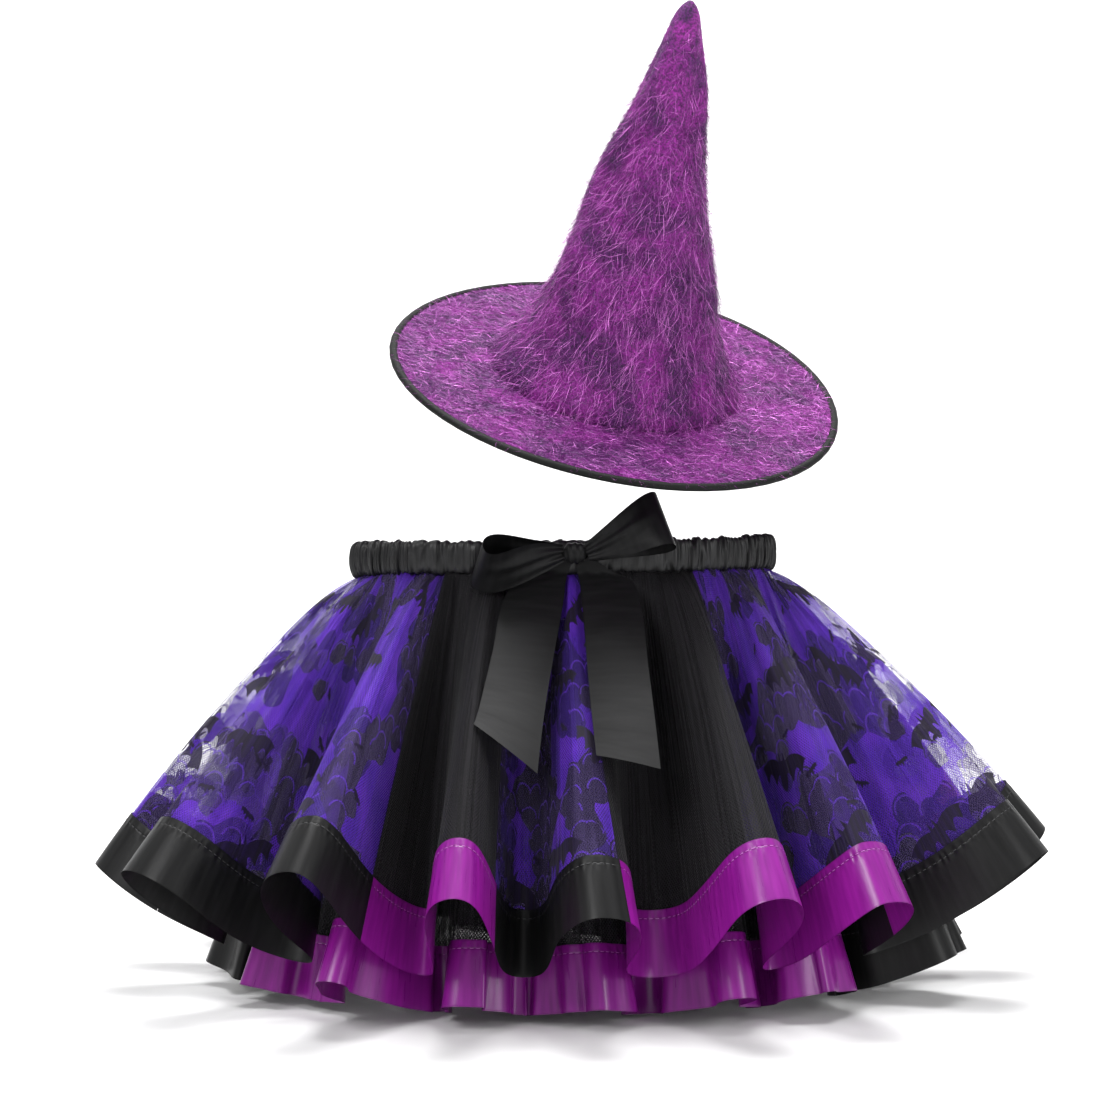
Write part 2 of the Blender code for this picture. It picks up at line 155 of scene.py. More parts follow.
MIDDLE_PANELS = [
    Panel("middle_front", 0.75, 6.25, "black_net", "purple_satin"),
    Panel("middle_right", 6.25, 10.25, "black_net", "black_satin"),
    Panel("middle_back", 10.25, 14.25, "black_net", "purple_satin"),
    Panel("middle_left", 14.25, 18.75, "black_net", "black_satin"),
]
LINING_PANELS = [
    Panel("lining_front", 0.75, 6.25, "black_net", None),
    Panel("lining_right", 6.25, 10.25, "black_net", None),
    Panel("lining_back", 10.25, 14.25, "black_net", None),
    Panel("lining_left", 14.25, 18.75, "black_net", None),
]

# Bow
BOW_WIDTH = 0.036
KNOT_PLACE = (0.0065, -0.0698, 0.0030)
KNOT_SIZE = (0.013, 0.009, 0.013)
LOOP_PINCH = 0.010
LOOP_OPEN = 0.013
LOOP_END_GAP = 0.0032
LOOP_CLEAR = 0.0006
TAIL_CLEAR = 0.0045
BAND_CLEAR = 0.0018
Loop = namedtuple("Loop", "name side far across")
BOW_LOOPS = [
    Loop("bow_loop_left", side=-1, far=(-0.0490, -0.0190, -0.0060), across=(-0.05, -0.80, 0.57)),
    Loop("bow_loop_right", side=1, far=(0.0455, -0.0050, 0.0200), across=(-0.45, 0.50, 0.74)),
]
TailRow = namedtuple("TailRow", "slide middle width")
Tail = namedtuple("Tail", "name cut rows")
BOW_TAILS = [
    Tail("bow_tail_left", cut=0.12, rows=[
        TailRow(-0.050, 0.0020, 0.008),
        TailRow(0.000, -0.0075, 0.021),
        TailRow(0.040, -0.0130, 0.029),
        TailRow(0.100, -0.0164, 0.0335),
        TailRow(0.290, -0.0229, 0.0345),
        TailRow(0.420, -0.0275, 0.0350),
        TailRow(0.580, -0.0325, 0.0355),
    ]),
    Tail("bow_tail_right", cut=0.05, rows=[
        TailRow(-0.050, 0.0110, 0.008),
        TailRow(0.000, 0.0180, 0.020),
        TailRow(0.045, 0.0242, 0.030),
        TailRow(0.115, 0.0269, 0.0330),
        TailRow(0.335, 0.0307, 0.0345),
        TailRow(0.605, 0.0356, 0.0355),
    ]),
]

# Hat
HAT_PLACE = (0.0318, 0.0, 0.1057)
HAT_TILT_AHEAD = 23.6
HAT_TILT_RIGHT = 10.7
BRIM_RADIUS = 0.1316
BRIM_WALL = 0.0030
BRIM_DIP = 0.003
BRIM_WAVE = 0.0015
CROWN_HEIGHT = 0.235
CROWN_WALL = 0.0040
CROWN_BASE_RADIUS = 0.0613
CROWN_TIP_RADIUS = 0.0045
CROWN_FLARE = 0.0125
CROWN_FLARE_HEIGHT = 0.055
CROWN_DENT = 0.0022
BINDING_RADIUS = 0.0028
TIP_ROUND_FROM = 0.955
WISP_SHARE = 0.06
WISP_RISE = 20.0

# Each pile of the hat: how many strands, how long, how they lean off the cloth and off its grain
# in degrees, how wide they are, and the two numbers that shape their spread of shades.
Pile = namedtuple("Pile", "count reach rise bias spread width shades")
CROWN_PILE = Pile(30000, 0.0070, 9.0, 0.0, 75.0, 0.00022, shades=(1.6, 2.2))
CROWN_TINSEL = Pile(11000, 0.0150, 15.0, -14.0, 27.0, 0.00014, shades=(2.6, 1.1))
BRIM_PILE = Pile(27000, 0.0070, 5.0, 0.0, 110.0, 0.00022, shades=(1.8, 1.9))
BRIM_TINSEL = Pile(9000, 0.0100, 8.0, 40.0, 60.0, 0.00013, shades=(2.6, 1.3))

FLOOR_DROP = 0.003


# Node trees


class Signal:
    """A node's output in a material. Arithmetic on it adds Math nodes."""

    def __init__(self, tree, socket):
        self.tree = tree
        self.socket = socket

    def math(self, operation, *others):
        node = self.tree.nodes.new("ShaderNodeMath")
        node.operation = operation
        for slot, value in zip(node.inputs, (self, *others)):
            plug(self.tree, slot, value)
        return Signal(self.tree, node.outputs[0])

    def __rsub__(self, other):
        return (self * -1.0) + other

    def within(self, low, high):
        """0 below low and 1 above high, easing between them."""
        node = self.tree.nodes.new("ShaderNodeMapRange")
        node.interpolation_type = "SMOOTHSTEP"
        plug(self.tree, node.inputs["Value"], self)
        node.inputs["From Min"].default_value = low
        node.inputs["From Max"].default_value = high
        return Signal(self.tree, node.outputs["Result"])


def math_method(operation):
    return lambda signal, *others: signal.math(operation, *others)


OPERATIONS = {
    "__add__": "ADD",
    "__radd__": "ADD",
    "__sub__": "SUBTRACT",
    "__mul__": "MULTIPLY",
    "__rmul__": "MULTIPLY",
    "__truediv__": "DIVIDE",
    "below": "LESS_THAN",
    "above": "GREATER_THAN",
    "sine": "SINE",
    "cosine": "COSINE",
    "size": "ABSOLUTE",
    "floor": "FLOOR",
    "fraction": "FRACT",
    "most": "MAXIMUM",
    "least": "MINIMUM",
}
for name, operation in OPERATIONS.items():
    setattr(Signal, name, math_method(operation))


def plug(tree, socket, value):
    if isinstance(value, Signal):
        tree.links.new(value.socket, socket)
    else:
        socket.default_value = value


SOCKETS = {
    "roughness": "Roughness",
    "gloss": "Specular IOR Level",
    "metallic": "Metallic",
    "sheen": "Sheen Weight",
    "sheen_roughness": "Sheen Roughness",
    "sheen_tint": "Sheen Tint",
}


def new_material(name, **settings):
    """A material with one Principled shader: its tree and the shader."""
    made = bpy.data.materials.new(name)
    made.use_nodes = True
    shader = made.node_tree.nodes["Principled BSDF"]
    for setting, value in settings.items():
        shader.inputs[SOCKETS[setting]].default_value = value
    return made, made.node_tree, shader


def cloth_place(tree):
    """The cloth's own coordinates in metres: across it and down it."""
    node = tree.nodes.new("ShaderNodeUVMap")
    node.uv_map = "UVMap"
    parts = tree.nodes.new("ShaderNodeSeparateXYZ")
    tree.links.new(node.outputs["UV"], parts.inputs[0])
    return Signal(tree, parts.outputs[0]), Signal(tree, parts.outputs[1])


def solid_place(tree):
    """The piece's own coordinates in metres."""
    node = tree.nodes.new("ShaderNodeTexCoord")
    return Signal(tree, node.outputs["Object"])


def vector(tree, x, y, z=0.0):
    node = tree.nodes.new("ShaderNodeCombineXYZ")
    for slot, value in zip(node.inputs, (x, y, z)):
        plug(tree, slot, value)
    return Signal(tree, node.outputs[0])


def noise(tree, place, scale, detail=2.0, dimensions="3D"):
    node = tree.nodes.new("ShaderNodeTexNoise")
    node.noise_dimensions = dimensions
    node.inputs["Scale"].default_value = scale
    node.inputs["Detail"].default_value = detail
    tree.links.new(place.socket, node.inputs["Vector"])
    return Signal(tree, node.outputs[0])


def random_of(tree, place):
    """Three steady random numbers from 0 to 1 for a place."""
    node = tree.nodes.new("ShaderNodeTexWhiteNoise")
    node.noise_dimensions = "2D"
    tree.links.new(place.socket, node.inputs["Vector"])
    parts = tree.nodes.new("ShaderNodeSeparateColor")
    tree.links.new(node.outputs["Color"], parts.inputs[0])
    return [Signal(tree, output) for output in parts.outputs]


def colour_mix(tree, share, first, second):
    node = tree.nodes.new("ShaderNodeMix")
    node.data_type = "RGBA"
    plug(tree, node.inputs["Factor"], share)
    for slot, value in ((6, first), (7, second)):
        if isinstance(value, Signal):
            tree.links.new(value.socket, node.inputs[slot])
        else:
            node.inputs[slot].default_value = (*value, 1.0)
    return Signal(tree, node.outputs[2])


def bump(tree, shader, height, distance, strength=1.0):
    node = tree.nodes.new("ShaderNodeBump")
    node.inputs["Strength"].default_value = strength
    node.inputs["Distance"].default_value = distance
    tree.links.new(height.socket, node.inputs["Height"])
    tree.links.new(node.outputs["Normal"], shader.inputs["Normal"])


# Materials


def satin(name, colour, bright, roughness, gloss, sewn):
    """Satin ribbon: soft creases across it, a fine weave, and puckers and painted shade where its
    edge is sewn.
    """
    made, tree, shader = new_material(name, gloss=gloss)
    across, down = cloth_place(tree)
    creases = noise(tree, vector(tree, across * 50.0, down * 14.0), 1.0, 3.0)
    warp = (across * (2 * math.pi / WARP_LENGTH)).sine() * 0.5
    weave = (down * (2 * math.pi / WEFT_LENGTH)).sine() * 0.5 + warp
    tone = noise(tree, vector(tree, across * 260.0, down * 26.0), 1.0, 2.0)
    edge = (down / RIBBON_WIDTH - 0.5).size().within(0.470, 0.497)
    mixed = colour_mix(tree, tone.within(0.30, 0.75), colour, bright)
    mixed = colour_mix(tree, edge * 0.5, mixed, [part * 0.55 for part in colour])
    from_seam = (down - STITCH_DOWN).size() / PUCKER_REACH
    uneven = noise(tree, vector(tree, across * 90.0, down * 20.0), 1.0, 1.0)
    pucker = (across * (2 * math.pi / PUCKER_LENGTH) + uneven * 9.0).sine()
    pucker = pucker * (1.0 - from_seam.within(0.0, 1.0))
    groove_and_painted_shade = 1.0 - from_seam.within(0.0, 0.16)
    # Painted shade: the colour darkens along the groove of the sewing line.
    if sewn:
        mixed = colour_mix(tree, groove_and_painted_shade * 0.45, mixed, [part * 0.3 for part in colour])
    tree.links.new(mixed.socket, shader.inputs["Base Color"])
    plug(tree, shader.inputs["Roughness"], tone * 0.10 + (roughness - 0.05))
    height = creases + weave * 0.012 - edge * 0.08
    if sewn:
        height = height + pucker * 0.28 - groove_and_painted_shade * 0.22
    bump(tree, shader, height, 0.0010, 0.6)
    return made


def net_cover(tree, across, down):
    """1 on the net's threads and 0 in its holes: two slanted sets of threads."""
    rising = ((across + down * 0.8) / NET_HOLE).fraction() - 0.5
    falling = ((across - down * 0.8) / NET_HOLE).fraction() - 0.5
    return rising.size().above(0.31).most(falling.size().above(0.31))


def gathers(tree, across, down):
    """Fine vertical streaks, and wider bands where a pleat lays the cloth double."""
    fine = noise(tree, vector(tree, across * 360.0, down * 6.0), 1.0, 2.0)
    broad = noise(tree, vector(tree, across * 62.0, down * 2.2), 1.0, 1.0)
    doubled = broad.within(0.545, 0.560)
    return fine, doubled


def black_net():
    """Plain black tulle, almost opaque where it lies double, with painted sheen along its fold
    streaks.
    """
    made, tree, shader = new_material(
        "black_net", roughness=0.70, gloss=0.16, sheen=0.03, sheen_roughness=0.5)
    across, down = cloth_place(tree)
    threads = net_cover(tree, across, down)
    fine, doubled = gathers(tree, across, down)
    fold_density_and_painted_light = fine.within(0.40, 0.66)
    # Painted sheen: the black is lighter along the fine fold streaks.
    colour = colour_mix(tree, fold_density_and_painted_light, (0.0018, 0.0016, 0.0022), (0.0100, 0.0090, 0.0115))
    colour = colour_mix(tree, threads * 0.5, colour, (0.0130, 0.0120, 0.0145))
    tree.links.new(colour.socket, shader.inputs["Base Color"])
    alpha = threads * 0.45 + fold_density_and_painted_light * 0.15 + doubled * 0.25 + 0.45
    plug(tree, shader.inputs["Alpha"], alpha.least(1.0))
    bump(tree, shader, fine + doubled * 0.5 + threads * 0.25, 0.0012, 0.7)
    return made


def bat_shape(x, y):
    """1 inside a bat with wings spread from -1 to 1: scalloped wings, a body and two ears."""
    out = x.size()
    from_hump = out - 0.42
    top = 0.32 - from_hump * from_hump * 0.9
    scallop = (out * (3 * math.pi)).sine().size()
    bottom = scallop * 0.22 + out * out * 0.22 - 0.24
    wing = y.below(top) * y.above(bottom) * out.below(1.0)
    body_across = out / 0.13
    body_up = (y + 0.04) / 0.30
    body = (body_across * body_across + body_up * body_up).below(1.0)
    ear = y.below(0.46 - (out - 0.075).size() * 5.0) * y.above(0.0) * out.below(0.14)
    return wing.most(body).most(ear)


def scattered_bats(tree, across, down, cell, half_span, share):
    """Bats of one size scattered over the cloth, one at most in each cell of a brick pattern."""
    width, height = cell
    row = (down / height).floor()
    column_place = across / width + row * 0.5
    column = column_place.floor()
    turn, jitter, chance = random_of(tree, vector(tree, column, row))
    x = (column_place.fraction() - 0.5) * width + (jitter - 0.5) * (width * 0.22)
    y = (0.5 - (down / height).fraction()) * height + (turn - 0.5) * (height * 0.22)
    angle = (turn - 0.5) * 1.7
    size = (jitter * 0.35 + 0.75) * half_span
    level = (x * angle.cosine() + y * angle.sine()) / size
    upright = (y * angle.cosine() - x * angle.sine()) / size
    return bat_shape(level, upright) * chance.below(share)


def puffy_clouds(tree, across, down, puff, share, seed):
    """1 inside clouds with scalloped edges of round puffs, and 1 on the small arcs in them."""
    cells = tree.nodes.new("ShaderNodeTexVoronoi")
    cells.voronoi_dimensions = "2D"
    cells.inputs["Scale"].default_value = 1 / puff
    cells.inputs["Randomness"].default_value = 0.85
    place = vector(tree, across + seed, down)
    tree.links.new(place.socket, cells.inputs["Vector"])
    middle = Signal(tree, cells.outputs["Position"])
    distance = Signal(tree, cells.outputs["Distance"])
    parts = tree.nodes.new("ShaderNodeSeparateXYZ")
    tree.links.new(middle.socket, parts.inputs[0])
    lower = down - Signal(tree, parts.outputs[1])
    puffs = noise(tree, middle, CLOUD_SIZE, 1.0, "2D").above(1 - share) * distance.below(0.60)
    inside = noise(tree, place, CLOUD_SIZE, 1.0, "2D").above(1 - share + 0.035)
    arc = distance.above(0.44) * distance.below(0.52) * lower.below(0.0)
    return puffs.most(inside), arc * puffs


def print_net():
    """Sheer net printed in violet, with dark bats, puffy clouds and windows of bare net, and
    painted shade along its fold streaks.
    """
    made, tree, shader = new_material(
        "print_net", roughness=0.60, gloss=0.22, sheen=0.04, sheen_roughness=0.4)
    across, down = cloth_place(tree)
    threads = net_cover(tree, across, down)
    fine, doubled = gathers(tree, across, down)
    fold_density_and_painted_light = fine.within(0.42, 0.66)
    cloud, cloud_arc = puffy_clouds(tree, across, down, 0.017, 0.44, 0.0)
    window, window_arc = puffy_clouds(tree, across, down, 0.015, 0.50, 3.7)
    bats = scattered_bats(tree, across, down, (0.078, 0.054), 0.0305, 0.85)
    small = scattered_bats(tree, across + 0.031, down + 0.017, (0.036, 0.029), 0.0075, 0.42)
    ink = noise(tree, vector(tree, across * 40.0, down * 40.0), 1.0, 2.0)
    violet = colour_mix(tree, ink.within(0.35, 0.7), (0.072, 0.016, 0.370), (0.120, 0.026, 0.500))
    colour = colour_mix(tree, cloud, violet, (0.034, 0.011, 0.160))
    colour = colour_mix(tree, cloud_arc, colour, (0.100, 0.030, 0.420))
    colour = colour_mix(tree, window, colour, (0.110, 0.075, 0.230))
    colour = colour_mix(tree, window_arc, colour, (0.090, 0.030, 0.380))
    dark = bats.most(small)
    colour = colour_mix(tree, dark, colour, (0.006, 0.003, 0.012))
    # Painted shade: the colour darkens along the fine fold streaks.
    colour = colour_mix(tree, fold_density_and_painted_light * 0.35, colour, (0.020, 0.008, 0.070))
    tree.links.new(colour.socket, shader.inputs["Base Color"])
    bare = window * (1.0 - window_arc)
    pleated = fold_density_and_painted_light * 0.10 + doubled * 0.16
    inked = threads * 0.32 + pleated + 0.33
    clear = threads * 0.24 + pleated * 0.6 + 0.03
    alpha = inked + (clear - inked) * bare
    alpha = alpha + (0.95 - alpha) * dark
    plug(tree, shader.inputs["Alpha"], alpha.least(1.0))
    bump(tree, shader, fine + doubled * 0.5 + threads * 0.2, 0.0010, 0.6)
    return made


def gathered_satin():
    """The casing's satin: black, with sharp gathering creases up and down it, and painted
    highlights and shade along them.
    """
    made, tree, shader = new_material("gathered_satin", gloss=0.35)
    across, down = cloth_place(tree)
    fine = noise(tree, vector(tree, across * 420.0, down * 55.0), 1.0, 3.0)
    broad = noise(tree, vector(tree, across * 150.0, down * 30.0), 1.0, 2.0)
    # Painted highlights and shade: the black lightens where the creases rise and darkens where they
    # sink.
    colour = colour_mix(tree, fine.within(0.35, 0.7), (0.003, 0.003, 0.0035), (0.011, 0.011, 0.012))
    tree.links.new(colour.socket, shader.inputs["Base Color"])
    plug(tree, shader.inputs["Roughness"], fine * 0.15 + 0.36)
    bump(tree, shader, fine * 0.6 + broad, 0.0016, 0.8)
    return made


def thread(name, colour):
    made, tree, shader = new_material(name, roughness=0.5)
    place = solid_place(tree)
    twist = noise(tree, place, 1800.0, 1.0)
    mixed = colour_mix(tree, twist, [part * 0.55 for part in colour], colour)
    tree.links.new(mixed.socket, shader.inputs["Base Color"])
    return made


def velvet():
    """The hat's ground cloth, dark purple, which shows between the tinsel, with broad patches of
    painted light and shade.
    """
    made, tree, shader = new_material(
        "hat_cloth", roughness=0.75, sheen=0.10,
        sheen_roughness=0.4, sheen_tint=(0.75, 0.15, 0.85, 1.0))
    place = solid_place(tree)
    nap = noise(tree, place, 700.0, 3.0)
    painted_light_patch = noise(tree, place, 42.0, 3.0)
    dark = colour_mix(tree, nap.within(0.35, 0.65), (0.020, 0.001, 0.034), (0.090, 0.004, 0.120))
    light = colour_mix(tree, nap.within(0.35, 0.65), (0.090, 0.003, 0.100), (0.300, 0.014, 0.290))
    # Painted light and shade: broad patches take the cloth from dark purple to bright magenta.
    colour = colour_mix(tree, painted_light_patch.within(0.40, 0.62), dark, light)
    tree.links.new(colour.socket, shader.inputs["Base Color"])
    bump(tree, shader, nap, 0.0012, 0.9)
    return made


def tinsel():
    """Shiny strands, each with a random shade from deep purple to bright lilac, the lilac being
    painted glints.
    """
    made, tree, shader = new_material("tinsel", metallic=0.30, roughness=0.34)
    node = tree.nodes.new("ShaderNodeAttribute")
    node.attribute_name = "shade"
    shade = Signal(tree, node.outputs["Fac"])
    place = solid_place(tree)
    painted_light_patch = noise(tree, place, 42.0, 3.0).within(0.36, 0.64)
    low = colour_mix(tree, shade.within(0.0, 0.70), (0.030, 0.001, 0.048), (0.260, 0.009, 0.270))
    # Painted shade: the strands darken in the same broad patches as the cloth.
    low = colour_mix(tree, (1.0 - painted_light_patch) * 0.55, low, (0.035, 0.002, 0.060))
    # Painted glints: the highest shades turn the strands a bright lilac.
    colour = colour_mix(tree, shade.within(0.70, 1.0), low, (0.760, 0.210, 0.740))
    tree.links.new(colour.socket, shader.inputs["Base Color"])
    return made


def bias_tape():
    made, tree, shader = new_material("bias_tape", roughness=0.60, gloss=0.18)
    place = solid_place(tree)
    weave = noise(tree, place, 1500.0, 2.0)
    wrinkle = noise(tree, place, 110.0, 2.0)
    colour = colour_mix(tree, weave, (0.0015, 0.0020, 0.0016), (0.0060, 0.0072, 0.0062))
    tree.links.new(colour.socket, shader.inputs["Base Color"])
    bump(tree, shader, weave * 0.3 + wrinkle, 0.0008, 0.6)
    return made


def floor_paper():
    made, tree, shader = new_material("floor_paper", roughness=0.85)
    place = solid_place(tree)
    grain = noise(tree, place, 60.0, 3.0)
    colour = colour_mix(tree, grain, (0.78, 0.78, 0.78), (0.82, 0.82, 0.82))
    tree.links.new(colour.socket, shader.inputs["Base Color"])
    return made


MATERIALS = {}


# The ribbons: two colours that the cloth wanders between, and how rough and glossy it is
Ribbon = namedtuple("Ribbon", "colour bright roughness gloss sewn")
RIBBONS = {
    "black_satin": Ribbon((0.0040, 0.0040, 0.0043), (0.0080, 0.0080, 0.0084), 0.40, 0.24, True),
    "purple_satin": Ribbon((0.165, 0.005, 0.175), (0.225, 0.008, 0.230), 0.29, 0.45, True),
    "bow_satin": Ribbon((0.0050, 0.0050, 0.0053), (0.0085, 0.0085, 0.0090), 0.46, 0.14, False),
}


def make_materials():
    MATERIALS.update({name: satin(name, *ribbon) for name, ribbon in RIBBONS.items()})
    MATERIALS.update(
        black_net=black_net(),
        print_net=print_net(),
        gathered_satin=gathered_satin(),
        black_thread=thread("black_thread", (0.060, 0.060, 0.064)),
        purple_thread=thread("purple_thread", (0.62, 0.16, 0.64)),
        hat_cloth=velvet(),
        tinsel=tinsel(),
        bias_tape=bias_tape(),
        floor_paper=floor_paper(),
    )


# Meshes


def grid_faces(columns, rows, round_across=False):
    column = np.arange(columns if round_across else columns - 1)[:, None]
    row = np.arange(rows - 1)[None, :]
    here = column * rows + row
    there = (column + 1) % columns * rows + row
    return np.stack([here, here + 1, there + 1, there], axis=-1).reshape(-1, 4)


def mesh_object(name, points, faces, finish, places=None):
    """An object from points, faces and, where there are any, each point's cloth coordinates."""
    mesh = bpy.data.meshes.new(name)
    mesh.from_pydata(np.asarray(points, float).tolist(), [], [list(face) for face in faces])
    if places is not None:
        layer = mesh.uv_layers.new(name="UVMap")
        corners = np.zeros(len(mesh.loops), np.int32)
        mesh.loops.foreach_get("vertex_index", corners)
        layer.data.foreach_set("uv", np.asarray(places, np.float32)[corners].ravel())
    mesh.materials.append(MATERIALS[finish])
    mesh.shade_smooth()
    made = bpy.data.objects.new(name, mesh)
    bpy.context.scene.collection.objects.link(made)
    return made


def give_wall(cloth, thickness):
    wall = cloth.modifiers.new("wall", "SOLIDIFY")
    wall.thickness = thickness
    wall.offset = 0.0
    wall.use_rim = True


def grid_lengths(grid, axis):
    """The running length along a grid's lines in that axis, from 0."""
    steps = np.linalg.norm(np.diff(grid, axis=axis), axis=-1)
    total = np.cumsum(steps, axis=axis)
    return np.insert(total, 0, 0.0, axis=axis)


# Skirt surfaces, by the same rules as the solids


def waist_edge(azimuth, inset):
    half_width = WAIST_HALF_WIDTH - inset
    half_depth = WAIST_HALF_DEPTH - inset
    across, along = np.sin(azimuth), np.cos(azimuth)
    size = np.sqrt((half_width * across) ** 2 + (half_depth * along) ** 2)
    points = np.stack([half_width**2 * across / size, -(half_depth**2) * along / size], axis=-1)
    return points, np.stack([across, -along], axis=-1)


def waist_spread(azimuth):
    size = np.hypot(WAIST_HALF_WIDTH * np.sin(azimuth), WAIST_HALF_DEPTH * np.cos(azimuth))
    return (WAIST_HALF_WIDTH * WAIST_HALF_DEPTH) ** 2 / size**3


def waist_height(azimuth):
    return BACK_DIP * (np.cos(azimuth) - 1) / 2 + RIGHT_RISE * np.sin(azimuth)


def fold_slopes(layer, turns):
    folds = layer.folds
    index = np.floor(turns).astype(int)
    part = turns - index
    near = np.where(part < 0.5, index, index + 1)

    def column(name, which):
        values = np.array([getattr(fold, name) for fold in folds], float)
        return values[which % len(folds)]

    start = column("azimuth", index) + 360.0 * (index // len(folds))
    end = column("azimuth", index + 1) + 360.0 * ((index + 1) // len(folds))
    crestness = (1 + np.cos(2 * math.pi * part)) / 2
    slope = column("sink", index) + (column("lift", near) - column("sink", index)) * crestness
    azimuth = start + (end - start) * part
    curl = (end - start) * column("curl", near) * np.sin(4 * math.pi * part)
    sway = curl + column("lean", near) * crestness
    return azimuth, sway, slope, crestness


def slope_run(slope, bulge, slides, length):
    bend = np.radians(bulge)
    start = np.radians(slope) + bend / 2
    end = start - bend * slides
    out = length * (np.cos(end) - np.cos(start)) / bend
    down = length * (np.sin(start) - np.sin(end)) / bend
    return out, down


def crest_shoulder(layer, slides):
    return layer.shoulder * (1 - np.clip(1 - slides / SHOULDER_REACH, 0, 1) ** 3)


def skirt_surface(layer, turn, slide):
    azimuth, sway, slope, crestness = fold_slopes(layer, turn)
    bulge = TROUGH_BULGE + (layer.crest_bulge - TROUGH_BULGE) * crestness
    out, down = slope_run(slope, bulge, slide, layer.length)
    fade = np.clip(1 - slide / GATHER_REACH, 0, 1) ** 2
    room = np.clip(waist_spread(np.radians(azimuth)) / GATHER_SPREAD, 0, 1)
    gather = layer.gather * room * fade * (1 + np.cos(2 * math.pi * GATHERS_PER_FOLD * turn))
    puff = crest_shoulder(layer, slide) * crestness
    out = out + gather + puff * np.cos(np.radians(slope))
    down = down - puff * np.sin(np.radians(slope))
    facing = np.radians(azimuth + sway * np.clip(slide, 0, 2) ** SWING_POWER)
    edge, outward = waist_edge(facing, layer.inset)
    flat = edge + outward * out[..., None]
    top = SKIRT_TOP + waist_height(facing) * (1 - slide)
    return np.concatenate([flat, (top - down)[..., None]], axis=-1)


def small_folds(layer, turn, slide):
    """How far the cloth's small pleats and ruffles stand off its solid's middle surface."""
    wander = 1.3 * np.sin(2 * math.pi * turn / 6.1) + 0.9 * np.sin(2 * math.pi * turn / 2.7 + 1)
    pleat = 0.5 + 0.5 * np.sin(2 * math.pi * (7.0 * turn) + 2.2 * wander)
    pleat = pleat * (0.55 + 0.45 * np.sin(2 * math.pi * 2.6 * turn + wander))
    near_band = np.clip(1 - slide / 0.75, 0, 1) * np.clip(slide * 12 + 0.4, 0, 1)
    drape = np.sin(2 * math.pi * 3.3 * turn + 1.7 * wander + 1.5 * slide) * np.clip(slide, 0, 1)
    hem = np.clip(slide, 0, 2) ** 3
    ruffle = np.sin(2 * math.pi * 2.1 * turn + 1.8 * wander)
    ruffle = ruffle + 0.45 * np.sin(2 * math.pi * 4.7 * turn - wander)
    return 0.0015 * pleat * near_band + 0.0009 * drape + layer.ruffle * ruffle * hem


def cloth_points(layer, turn, slide, moved_out):
    """Points of the cloth itself: the middle surface with the small folds, moved out."""
    step = 0.002
    points = skirt_surface(layer, turn, slide)
    along = skirt_surface(layer, turn + step, slide) - skirt_surface(layer, turn - step, slide)
    above = skirt_surface(layer, turn, slide - step)
    downwards = skirt_surface(layer, turn, slide + step) - above
    normal = np.cross(downwards, along)
    normal /= np.linalg.norm(normal, axis=-1, keepdims=True)
    return points + normal * (moved_out + small_folds(layer, turn, slide))[..., None]


def panel_turns(layer, panel, slides):
    """A panel's turns and slides, column by row, with half a seam left free at both its edges."""
    step = 0.01
    margins = []
    for edge in (panel.start, panel.end):
        here = skirt_surface(layer, np.full_like(slides, edge), slides)
        beside = skirt_surface(layer, np.full_like(slides, edge + step), slides)
        margins.append(SEAM_HALF * step / np.linalg.norm(beside - here, axis=-1))
    count = round((panel.end - panel.start) * layer.columns)
    share = np.linspace(0, 1, count + 1)[:, None]
    start, end = panel.start + margins[0], panel.end - margins[1]
    turn = start + (end - start) * share
    return turn, np.broadcast_to(slides, turn.shape)


def hem_places(grid, slide, layer, base):
    """A gathered strip's cloth coordinates, the hem's running length and the way down."""
    along = grid_lengths(grid, 0)[:, -1:]
    across = np.broadcast_to(along, grid.shape[:2])
    down = (slide - base) * layer.length
    return np.stack([across, down], axis=-1).reshape(-1, 2), float(along[-1, 0])


def stand_for(piece, node):
    """Rides a piece on the costume's one body, in place of its solid, which it hides."""
    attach(piece, "root")
    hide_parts(node)


def add_net(layer, panel, lowest):
    slides = np.concatenate([[-TUCK], np.linspace(0, 1, 56) ** 1.15 * lowest])
    turn, slide = panel_turns(layer, panel, slides)
    grid = cloth_points(layer, turn, slide, NET_OUT)
    places, width = hem_places(grid, slide, layer, 0.0)
    places[:, 0] += panel.start * 0.731
    faces = grid_faces(*grid.shape[:2])
    net = mesh_object("net_" + panel.name, grid.reshape(-1, 3), faces, panel.cloth, places)
    stand_for(net, "skirt_" + panel.name)


def add_ribbon(layer, panel):
    top = 1 - RIBBON_WIDTH / layer.length
    turn, slide = panel_turns(layer, panel, np.linspace(top, 1, 15))
    grid = cloth_points(layer, turn, slide, RIBBON_OUT)
    places, width = hem_places(grid, slide, layer, top)
    faces = grid_faces(*grid.shape[:2])
    strip = mesh_object("satin_" + panel.name, grid.reshape(-1, 3), faces, panel.ribbon, places)
    stand_for(strip, "ribbon_" + panel.name)


def along_line(line, spacing):
    """Places and directions at even spacing along a line of points."""
    length = grid_lengths(line, 0)
    spots = np.arange(spacing, length[-1] - spacing, spacing)

    def read(at):
        return np.stack([np.interp(at, length, line[:, axis]) for axis in range(3)], axis=-1)

    places = read(spots)
    direction = read(spots + spacing / 4) - places
    return places, direction / np.linalg.norm(direction, axis=-1, keepdims=True)


